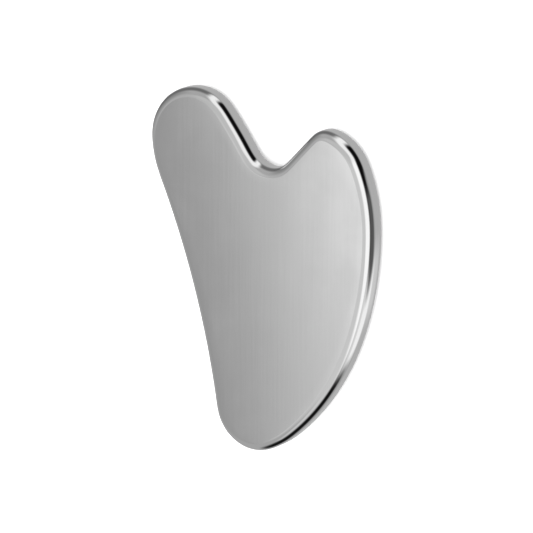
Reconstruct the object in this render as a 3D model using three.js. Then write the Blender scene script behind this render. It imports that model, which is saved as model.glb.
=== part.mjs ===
// Gua sha scraper: one solid plate of polished stainless steel, with a long lobe and a short lobe
// either side of a notch, a full belly, a rounded tip and a slightly hollow back.
//
// Millimetres, +Z up. The plate lies on its back face, on z = 0. Its length runs along Y with the
// lobes at +Y and the tip at -Y, and its belly bulges towards +X.

import * as THREE from 'three';

// Driving dimensions
const THICKNESS = 6;
const EDGE_RADIUS = 1.8;

// Guide circles of the outline, in clockwise order seen from above. A negative radius is a hollow
// circle, which has the steel outside it.
const LONG_LOBE = { x: -16.5, y: 30.25, radius: 11 };
const NOTCH = { x: 4.25, y: 31.25, radius: -6.25 };
const SHORT_LOBE = { x: 19.25, y: 31, radius: 4.75 };
const SHOULDER = { x: -4.75, y: 13.25, radius: 37 };
const LOWER_BELLY = { x: -28, y: 7.25, radius: 59.25 };
const TIP = { x: -0.25, y: -32.25, radius: 10.5 };
const LOBE_SIDE = { x: -2.75, y: 29.75, radius: 26 };

// Radii of the arcs that join one guide circle to the next, with the same sign rule
const LONG_LOBE_FLANK = 115;
const SHORT_LOBE_FLANK = 585;
const SHORT_LOBE_CORNER = 12.5;
const BELLY = 75;
const TIP_CORNER = 25.5;
const BACK = -200;
const LOBE_CORNER = 12.5;

// Fineness of the facets
const MAX_FACET_TURN = THREE.MathUtils.degToRad(7);
const MAX_FACET_LENGTH = 3;
const EDGE_FACETS = 6;

const OUTLINE = [
  { guide: LONG_LOBE, join: LONG_LOBE_FLANK },
  { guide: NOTCH, join: SHORT_LOBE_FLANK },
  { guide: SHORT_LOBE, join: SHORT_LOBE_CORNER },
  { guide: SHOULDER, join: BELLY },
  { guide: LOWER_BELLY, join: TIP_CORNER },
  { guide: TIP, join: BACK },
  { guide: LOBE_SIDE, join: LOBE_CORNER },
];

// Direction of the outward normal where two touching circles meet. It lies on their line of centres.
function meetingAngle(from, to) {
  const scale = 1 / (to.radius - from.radius);
  return Math.atan2((from.y - to.y) * scale, (from.x - to.x) * scale);
}

// Angle turned from one outward normal to the next, clockwise on a solid circle and
// anticlockwise on a hollow one, as a positive number.
function turnAlong(radius, startAngle, endAngle) {
  const turn = radius > 0 ? startAngle - endAngle : endAngle - startAngle;
  return THREE.MathUtils.euclideanModulo(turn, 2 * Math.PI);
}

// Circle of the given radius that touches both guide circles, where the centres' distance is the
// difference of the signed radii. Of the two that do, the joining arc is the one that turns least.
function joiningCircle(first, second, radius) {
  const toFirst = radius - first.radius;
  const toSecond = radius - second.radius;
  const dx = second.x - first.x;
  const dy = second.y - first.y;
  const apart = Math.hypot(dx, dy);
  const along = (toFirst ** 2 - toSecond ** 2 + apart ** 2) / (2 * apart);
  const aside = Math.sqrt(toFirst ** 2 - along ** 2);
  const candidates = [aside, -aside].map((offset) => ({
    x: first.x + (along * dx - offset * dy) / apart,
    y: first.y + (along * dy + offset * dx) / apart,
    radius,
  }));
  const turns = candidates.map((circle) =>
    turnAlong(radius, meetingAngle(first, circle), meetingAngle(circle, second)));
  return turns[0] < turns[1] ? candidates[0] : candidates[1];
}

// Every circle of the outline in order: guide, join, guide, join and so on
function outlineCircles() {
  return OUTLINE.flatMap(({ guide, join }, i) => {
    const next = OUTLINE[(i + 1) % OUTLINE.length].guide;
    return [guide, joiningCircle(guide, next, join)];
  });
}

// Points on the outline's arcs, clockwise seen from above
function outlinePoints() {
  const circles = outlineCircles();
  return circles.flatMap((circle, i) => {
    const before = circles[(i + circles.length - 1) % circles.length];
    const after = circles[(i + 1) % circles.length];
    const start = meetingAngle(before, circle);
    const turn = turnAlong(circle.radius, start, meetingAngle(circle, after));
    const length = turn * Math.abs(circle.radius);
    const facets = Math.ceil(Math.max(turn / MAX_FACET_TURN, length / MAX_FACET_LENGTH));
    const sense = -Math.sign(circle.radius);
    return Array.from({ length: facets }, (_, step) => {
      const angle = start + (sense * turn * step) / facets;
      const x = circle.x + circle.radius * Math.cos(angle);
      const y = circle.y + circle.radius * Math.sin(angle);
      return new THREE.Vector2(x, y);
    });
  });
}

function plateGeometry() {
  const geometry = new THREE.ExtrudeGeometry(new THREE.Shape(outlinePoints()), {
    depth: THICKNESS - 2 * EDGE_RADIUS,
    bevelEnabled: true,
    bevelThickness: EDGE_RADIUS,
    bevelSize: EDGE_RADIUS,
    bevelOffset: -EDGE_RADIUS,
    bevelSegments: EDGE_FACETS,
  });
  geometry.center();
  geometry.translate(0, 0, THICKNESS / 2);
  return geometry;
}

const polishedSteel = new THREE.MeshStandardMaterial({ color: 0xc8cacc, roughness: 0.12, metalness: 1 });

const plate = new THREE.Mesh(plateGeometry(), polishedSteel);
plate.name = 'scraper_plate';

const guaShaScraper = new THREE.Group();
guaShaScraper.name = 'gua_sha_scraper';
guaShaScraper.add(plate);

export default guaShaScraper;
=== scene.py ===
"""Gua sha scraper: a solid plate of mirror-polished steel lying on a pale floor.

Metres, in the CAD frame: +Z out of the front face, +Y along the length to the lobes, +X to the belly.
"""

import math

import bpy
import numpy as np
from mathutils import Matrix, Vector

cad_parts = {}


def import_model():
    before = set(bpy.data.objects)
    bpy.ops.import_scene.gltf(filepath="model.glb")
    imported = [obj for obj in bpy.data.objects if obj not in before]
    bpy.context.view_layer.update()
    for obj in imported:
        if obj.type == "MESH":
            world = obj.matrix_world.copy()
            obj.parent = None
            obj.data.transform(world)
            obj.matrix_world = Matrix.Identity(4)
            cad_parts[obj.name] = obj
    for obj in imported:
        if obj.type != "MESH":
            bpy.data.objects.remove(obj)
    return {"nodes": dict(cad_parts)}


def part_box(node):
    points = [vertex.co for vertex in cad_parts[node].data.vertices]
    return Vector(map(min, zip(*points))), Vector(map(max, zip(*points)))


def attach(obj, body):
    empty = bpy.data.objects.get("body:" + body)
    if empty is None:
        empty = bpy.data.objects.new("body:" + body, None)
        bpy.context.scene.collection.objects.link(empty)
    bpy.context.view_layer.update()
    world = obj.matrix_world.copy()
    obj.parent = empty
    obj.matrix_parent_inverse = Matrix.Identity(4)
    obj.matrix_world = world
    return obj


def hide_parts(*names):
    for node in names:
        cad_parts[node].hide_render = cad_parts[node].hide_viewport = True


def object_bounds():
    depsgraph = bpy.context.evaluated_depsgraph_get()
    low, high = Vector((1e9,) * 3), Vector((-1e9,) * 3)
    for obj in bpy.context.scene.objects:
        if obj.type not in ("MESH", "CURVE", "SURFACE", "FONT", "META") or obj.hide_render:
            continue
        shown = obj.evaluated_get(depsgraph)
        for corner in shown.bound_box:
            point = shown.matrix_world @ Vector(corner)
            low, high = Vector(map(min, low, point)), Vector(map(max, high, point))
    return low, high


PLATE_NODE = "scraper_plate"

# Camera: direction from the plate, with the plate's length upright in the picture
VIEW_AZIMUTH = 115.3
VIEW_ELEVATION = 53.2
VIEW_DISTANCE = 1.0
VIEW_LENS_MM = 294.8
SENSOR_MM = 36.0
AIM_RIGHT = 0.00031
AIM_UP = 0.0019
CLIP_NEAR = 0.01
CLIP_FAR = 20

# Rim: how far the rounding reaches in from the side and down from a face, and how square it is
ROUNDING_IN = 0.0021
ROUNDING_DOWN = 0.0022
ROUNDING_POWER = 2.1
ROUNDING_STEPS = 18
SIDE_STEPS = 4

# Crown: polishing rolls the flat face off by a hair where it nears the rounding
CROWN_WIDTH = 0.0020
CROWN_DROP = 0.000003
CROWN_LOOPS = 8

# Outline: points along it, the length over which its changes of curvature are eased, and how close two
# CAD vertices or widths are to count as one
OUTLINE_POINTS = 1200
OUTLINE_EASE = 0.0009
SAME_PLACE_DIGITS = 7
SAME_WIDTH = 0.000001

# Steel: what its polish leaves. Scales are waves per metre, and depths are heights in metres. A noise is
# its scale, detail and roughness. Edges are the noise's values between which an effect comes in.
STEEL_REFLECTANCE = 0.75
WORN_REFLECTANCE = 0.74
POLISH_ROUGHNESS = (0.035, 0.075)
PATCHES = (70, 4.0, 0.6)
WORN_EDGES = (0.35, 0.65)
DULL_EDGES = (0.3, 0.7)
WAVES = (55, 1.0, 0.4)
WAVE_DEPTH = 0.000012
HAIRLINES = (1.0, 2.0, 0.5)
HAIRLINE_SCALE = (1500, 45, 45)
HAIRLINE_EDGES = (0.4, 0.8)
HAIRLINE_DEPTH = 0.0000006
HAIRLINE_ROUGHNESS = 0.012

# Floor: pale paper, a hair below the plate, and the sun lamp that whitens it
FLOOR_GAP = 0.00005
FLOOR_HALF_WIDTH = 3.0
FLOOR_REFLECTANCE = 0.9
FLOOR_ROUGHNESS = 0.9
FLOOR_LIGHT_STRENGTH = 4.5
FLOOR_LIGHT_SPREAD = 120

# Studio that the steel mirrors. A tone is the display grey, out of 255, that the steel then shows.
# Directions are in degrees: azimuth turns from -Y towards +X, and elevation is up from the horizon.
WALL_BRIGHTNESS = 1.0
DISPLAY_GAMMA = 2.2
BRIGHTEST_TONE = 255

# Ceiling light: the direction that it brightens towards, its tones, and where its two fades begin and
# end, each as the dot product of a direction with that one
CEILING_AZIMUTH = 101.7
CEILING_ELEVATION = 36
CEILING_DIM = 146
CEILING_BRIGHT = 223
CEILING_FADE = (-0.024, 0.033)
CEILING_FAR = 196
CEILING_FAR_FADE = (0.029, 0.055)

# Cards, lights and gaps of the studio, each over the ones before it. The pairs are across and up: the
# direction of the middle, the half size, and how far the edge fades either side of its line.
ALL_ROUND = 360
HALF_TURN = 180
STUDIO = {
    "low wall": dict(at=(0, -22), half=(ALL_ROUND, 40), soft=(1, 7), tone=156),
    "far wall": dict(at=(233, 22), half=(53, 38), soft=(4, 8), tone=163),
    "far wall top": dict(at=(268, 54), half=(18, 10), soft=(5, 7), tone=168),
    "far corner": dict(at=(255, 12), half=(22, 24), soft=(16, 14), tone=136),
    "far skirting": dict(at=(226, -14), half=(46, 22), soft=(14, 14), tone=104),
    "left wall": dict(at=(326, 22), half=(22, 32), soft=(8, 5), tone=160),
    "ceiling panel": dict(at=(205, 70), half=(75, 14), soft=(10, 7), tone=184),
    "softbox": dict(at=(84, 49), half=(56, 27), soft=(14, 10), tone=247),
    "side softbox": dict(at=(158, 36), half=(26, 19), soft=(10, 11), tone=236),
    "near gap": dict(at=(55, 0), half=(72, 21), soft=(8, 14), tone=20),
    "side gap": dict(at=(135, -12), half=(24, 25), soft=(8, 14), tone=18),
    "grey stand": dict(at=(82, -6), half=(19, 24), soft=(7, 14), tone=84),
    "table": dict(at=(0, -75), half=(ALL_ROUND, 28), soft=(1, 7), tone=170),
    "near strip light": dict(at=(47, -16), half=(14, 37), soft=(8, 9), tone=238),
    "strip light head": dict(at=(48, 16), half=(15, 10), soft=(8, 6), tone=208),
    "side strip light": dict(at=(171, -3), half=(10, 30), soft=(7, 9), tone=238),
}


def towards(azimuth, elevation):
    """The unit vector in that direction, given in degrees."""
    turn, rise = math.radians(azimuth), math.radians(elevation)
    return Vector((math.sin(turn) * math.cos(rise), -math.cos(turn) * math.cos(rise), math.sin(rise)))


# ---------------------------------------------------------------- plate's shape

def side_ring(cad):
    """The CAD plate's outline, in order round the top edge of its side wall."""
    mesh = cad.data
    places = [tuple(round(c, SAME_PLACE_DIGITS) for c in v.co) for v in mesh.vertices]
    spans = {}
    for x, _, z in places:
        low, high = spans.get(z, (x, x))
        spans[z] = (min(low, x), max(high, x))
    widest = max(high - low for low, high in spans.values())
    level = max(z for z, (low, high) in spans.items() if high - low > widest - SAME_WIDTH)
    neighbours = {}
    for edge in mesh.edges:
        a, b = (places[i] for i in edge.vertices)
        if a != b and a[2] == level and b[2] == level:
            neighbours.setdefault(a, set()).add(b)
            neighbours.setdefault(b, set()).add(a)
    start = min(neighbours)
    ring = [start]
    previous, here = start, min(neighbours[start])
    while here != start:
        ring.append(here)
        previous, here = here, next(p for p in sorted(neighbours[here]) if p != previous)
    return np.array(ring)[:, :2]


def closed_spline(points, count):
    """Evenly spaced points on the smooth closed curve (periodic cubic spline) through the given ones."""
    steps = np.linalg.norm(np.roll(points, -1, 0) - points, axis=1)
    size = len(points)
    system = np.zeros((size, size))
    right = np.zeros((size, 2))
    for i in range(size):
        before, after = steps[i - 1], steps[i]
        system[i, i - 1] = before
        system[i, i] = 2 * (before + after)
        system[i, (i + 1) % size] = after
        rise_after = (points[(i + 1) % size] - points[i]) / after
        rise_before = (points[i] - points[i - 1]) / before
        right[i] = 6 * (rise_after - rise_before)
    bends = np.linalg.solve(system, right)
    starts = np.concatenate([[0], np.cumsum(steps)])
    where = np.linspace(0, starts[-1], count, endpoint=False)
    span = np.searchsorted(starts, where, side="right") - 1
    after = (span + 1) % size
    length = steps[span][:, None]
    t = (where - starts[span])[:, None]
    left_part = bends[span] * (length - t) ** 3 + bends[after] * t ** 3
    line_a = (points[span] / length - bends[span] * length / 6) * (length - t)
    line_b = (points[after] / length - bends[after] * length / 6) * t
    return left_part / (6 * length) + line_a + line_b


def eased(curve, length):
    """The closed curve with its changes of curvature spread over about that length."""
    total = np.linalg.norm(np.roll(curve, -1, 0) - curve, axis=1).sum()
    waves = np.fft.fftfreq(len(curve)) * len(curve)
    keep = np.exp(-0.5 * (2 * np.pi * waves / total * length) ** 2)
    z = np.fft.ifft(np.fft.fft(curve[:, 0] + 1j * curve[:, 1]) * keep)
    return np.column_stack([z.real, z.imag])


def outward(curve):
    """Unit normals of a closed curve, pointing out of it."""
    along = np.roll(curve, -1, 0) - np.roll(curve, 1, 0)
    along /= np.linalg.norm(along, axis=1)[:, None]
    ahead = np.roll(curve, -1, 0)
    area = np.sum(curve[:, 0] * ahead[:, 1] - ahead[:, 0] * curve[:, 1])
    return math.copysign(1, area) * np.column_stack([along[:, 1], -along[:, 0]])


def rim_profile(thickness):
    """Each ring's (distance in from the outline, height): over the front, down the side, under the back."""
    inset = np.linspace(1, 0, CROWN_LOOPS, endpoint=False) ** 2
    crown = [(ROUNDING_IN + CROWN_WIDTH * x, thickness - CROWN_DROP * (1 - x) ** 2) for x in inset]
    turn = np.linspace(0, math.pi / 2, ROUNDING_STEPS)
    power = 2 / ROUNDING_POWER
    inward = ROUNDING_IN * (1 - np.sin(turn) ** power)
    height = thickness - CROWN_DROP - ROUNDING_DOWN * (1 - np.cos(turn) ** power)
    wall = np.linspace(height[-1], thickness - height[-1], SIDE_STEPS + 1)[1:-1]
    front = crown + list(zip(inward, height))
    back = [(x, thickness - z) for x, z in reversed(front)]
    return front + [(0.0, z) for z in wall] + back


def plate_mesh(cad):
    """The plate made smooth: its eased outline carried round the rim's profile, and two flat faces."""
    low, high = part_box(cad.name)
    curve = eased(closed_spline(side_ring(cad), OUTLINE_POINTS), OUTLINE_EASE)
    normals = outward(curve)
    profile = rim_profile(high.z - low.z)
    rings = [np.column_stack([curve - x * normals, np.full(len(curve), low.z + z)]) for x, z in profile]
    count = len(curve)
    faces = []
    for row in range(len(rings) - 1):
        for i in range(count):
            j = (i + 1) % count
            upper, lower = row * count, (row + 1) * count
            faces.append((upper + i, lower + i, lower + j, upper + j))
    last = (len(rings) - 1) * count
    faces.append(tuple(range(count)))
    faces.append(tuple(range(last + count - 1, last - 1, -1)))
    mesh = bpy.data.meshes.new("polished_plate")
    mesh.from_pydata(np.concatenate(rings).tolist(), [], faces)
    mesh.update()
    return mesh


# ---------------------------------------------------------------- nodes

def node(tree, kind, *inputs, **settings):
    """A shader node, its inputs set in order: a socket is linked, None is left, the rest are values."""
    made = tree.nodes.new(kind)
    for name, value in settings.items():
        setattr(made, name, value)
    for socket, value in zip(made.inputs, inputs):
        if isinstance(value, bpy.types.NodeSocket):
            tree.links.new(value, socket)
        elif value is not None:
            socket.default_value = value
    return made


def math_node(tree, operation, a, b=None):
    return node(tree, "ShaderNodeMath", a, b, operation=operation).outputs[0]


def grey(value):
    return (value, value, value, 1)


def smooth(tree, value, low, high, first, last):
    """From first to last, eased, as the value goes from low to high."""
    made = node(tree, "ShaderNodeMapRange", value, low, high, first, last, interpolation_type="SMOOTHSTEP")
    return made.outputs["Result"]


# ---------------------------------------------------------------- material

def noise(tree, place, scale, detail, roughness):
    made = node(tree, "ShaderNodeTexNoise", place, None, scale, detail, roughness)
    return made.outputs[0]


def bumped(tree, height, depth, normal=None):
    """The normal over a relief of that depth in metres, where the height is 0 to 1."""
    made = node(tree, "ShaderNodeBump")
    made.inputs["Distance"].default_value = depth
    tree.links.new(height, made.inputs["Height"])
    if normal is not None:
        tree.links.new(normal, made.inputs["Normal"])
    return made.outputs["Normal"]


def polished_steel():
    """Mirror-polished steel: faint waves, hairlines along the plate, and patches a touch less bright."""
    material = bpy.data.materials.new("polished_steel")
    material.use_nodes = True
    tree = material.node_tree
    shader = tree.nodes["Principled BSDF"]
    shader.inputs["Metallic"].default_value = 1.0
    place = node(tree, "ShaderNodeTexCoord").outputs["Object"]
    drawn_out = node(tree, "ShaderNodeVectorMath", place, HAIRLINE_SCALE, operation="MULTIPLY").outputs[0]
    patches = noise(tree, place, *PATCHES)
    waves = noise(tree, place, *WAVES)
    hairlines = noise(tree, drawn_out, *HAIRLINES)

    worn = smooth(tree, patches, *WORN_EDGES, 0.0, 1.0)
    tint = node(tree, "ShaderNodeMix", worn, data_type="RGBA")
    tint.inputs[6].default_value = grey(STEEL_REFLECTANCE)
    tint.inputs[7].default_value = grey(WORN_REFLECTANCE)
    tree.links.new(tint.outputs[2], shader.inputs["Base Color"])

    dull = smooth(tree, patches, *DULL_EDGES, *POLISH_ROUGHNESS)
    streak = smooth(tree, hairlines, *HAIRLINE_EDGES, 0.0, HAIRLINE_ROUGHNESS)
    tree.links.new(math_node(tree, "ADD", dull, streak), shader.inputs["Roughness"])

    wavy = bumped(tree, waves, WAVE_DEPTH)
    tree.links.new(bumped(tree, hairlines, HAIRLINE_DEPTH, wavy), shader.inputs["Normal"])
    return material


# ---------------------------------------------------------------- studio

def floor(height):
    mesh = bpy.data.meshes.new("floor")
    half = FLOOR_HALF_WIDTH
    corners = [(-half, -half, height), (half, -half, height), (half, half, height), (-half, half, height)]
    mesh.from_pydata(corners, [], [(0, 1, 2, 3)])
    obj = bpy.data.objects.new("floor", mesh)
    bpy.context.scene.collection.objects.link(obj)
    material = bpy.data.materials.new("floor_paper")
    material.use_nodes = True
    shader = material.node_tree.nodes["Principled BSDF"]
    shader.inputs["Base Color"].default_value = grey(FLOOR_REFLECTANCE)
    shader.inputs["Roughness"].default_value = FLOOR_ROUGHNESS
    mesh.materials.append(material)
    obj.visible_glossy = False


def floor_light():
    """A broad soft light that whitens the floor and isn't mirrored in the steel."""
    data = bpy.data.lights.new("floor_light", "SUN")
    data.energy = FLOOR_LIGHT_STRENGTH
    data.angle = math.radians(FLOOR_LIGHT_SPREAD)
    obj = bpy.data.objects.new("floor_light", data)
    obj.visible_glossy = False
    bpy.context.scene.collection.objects.link(obj)


def falloff(tree, distance, reach, softness):
    """1 within reach, easing to 0 over softness either side of it."""
    return smooth(tree, distance, reach - softness, reach + softness, 1.0, 0.0)


def blend_tone(tree, below, tone, mask):
    """The tone laid over the one below, where the mask is 1."""
    return node(tree, "ShaderNodeMix", mask, None, below, tone, data_type="FLOAT").outputs[0]


def ceiling(tree, direction):
    """The light overhead: dim on the far side, with a soft edge just where the plate's flat face looks."""
    facing = towards(CEILING_AZIMUTH, CEILING_ELEVATION)
    across = node(tree, "ShaderNodeVectorMath", direction, facing, operation="DOT_PRODUCT").outputs["Value"]
    edge = smooth(tree, across, *CEILING_FADE, CEILING_DIM, CEILING_BRIGHT)
    beyond = smooth(tree, across, *CEILING_FAR_FADE, 0.0, 1.0)
    return blend_tone(tree, edge, CEILING_FAR, beyond)


def studio_card(tree, below, azimuth, elevation, card):
    """A soft-edged card, light or gap of the studio, laid over what is already there."""
    turn = math_node(tree, "SUBTRACT", azimuth, card["at"][0])
    wrapped = node(tree, "ShaderNodeMath", turn, HALF_TURN, -HALF_TURN, operation="WRAP").outputs[0]
    rise = math_node(tree, "SUBTRACT", elevation, card["at"][1])
    masks = []
    for offset, half, soft in zip((wrapped, rise), card["half"], card["soft"]):
        masks.append(falloff(tree, math_node(tree, "ABSOLUTE", offset), half, soft))
    return blend_tone(tree, below, card["tone"], math_node(tree, "MULTIPLY", *masks))


def world():
    """A photographer's studio as the steel mirrors it. The camera itself sees a plain pale wall."""
    made = bpy.data.worlds.new("studio")
    bpy.context.scene.world = made
    made.use_nodes = True
    tree = made.node_tree
    direction = node(tree, "ShaderNodeTexCoord").outputs["Generated"]
    parts = node(tree, "ShaderNodeSeparateXYZ", direction).outputs
    away = math_node(tree, "MULTIPLY", parts["Y"], -1.0)
    azimuth = math_node(tree, "DEGREES", math_node(tree, "ARCTAN2", parts["X"], away))
    elevation = math_node(tree, "DEGREES", math_node(tree, "ARCSINE", parts["Z"]))
    tone = ceiling(tree, direction)
    for card in STUDIO.values():
        tone = studio_card(tree, tone, azimuth, elevation, card)
    light = math_node(tree, "POWER", math_node(tree, "DIVIDE", tone, BRIGHTEST_TONE), DISPLAY_GAMMA)
    mirrored = math_node(tree, "DIVIDE", light, STEEL_REFLECTANCE)
    seen = node(tree, "ShaderNodeLightPath").outputs["Is Camera Ray"]
    shown = blend_tone(tree, mirrored, WALL_BRIGHTNESS, seen)
    tree.links.new(shown, tree.nodes["Background"].inputs["Color"])


def camera(centre):
    back = towards(VIEW_AZIMUTH, VIEW_ELEVATION)
    right = Vector((0, 1, 0)).cross(back).normalized()
    up = back.cross(right)
    data = bpy.data.cameras.new("camera")
    data.lens = VIEW_LENS_MM
    data.sensor_width = SENSOR_MM
    obj = bpy.data.objects.new("camera", data)
    turned = Matrix((right, up, back)).transposed().to_4x4()
    aim = centre + AIM_RIGHT * right + AIM_UP * up
    obj.matrix_world = Matrix.Translation(aim + VIEW_DISTANCE * back) @ turned
    data.clip_start, data.clip_end = CLIP_NEAR, CLIP_FAR
    bpy.context.scene.collection.objects.link(obj)
    bpy.context.scene.camera = obj


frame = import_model()
cad_low, cad_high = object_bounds()

plate = bpy.data.objects.new("polished_plate", plate_mesh(frame["nodes"][PLATE_NODE]))
bpy.context.scene.collection.objects.link(plate)
plate.data.shade_smooth()
plate.data.materials.append(polished_steel())
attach(plate, "root")
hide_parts(PLATE_NODE)

floor(cad_low.z - FLOOR_GAP)
floor_light()
world()
camera((cad_low + cad_high) / 2)
bpy.context.scene.view_settings.view_transform = "Standard"
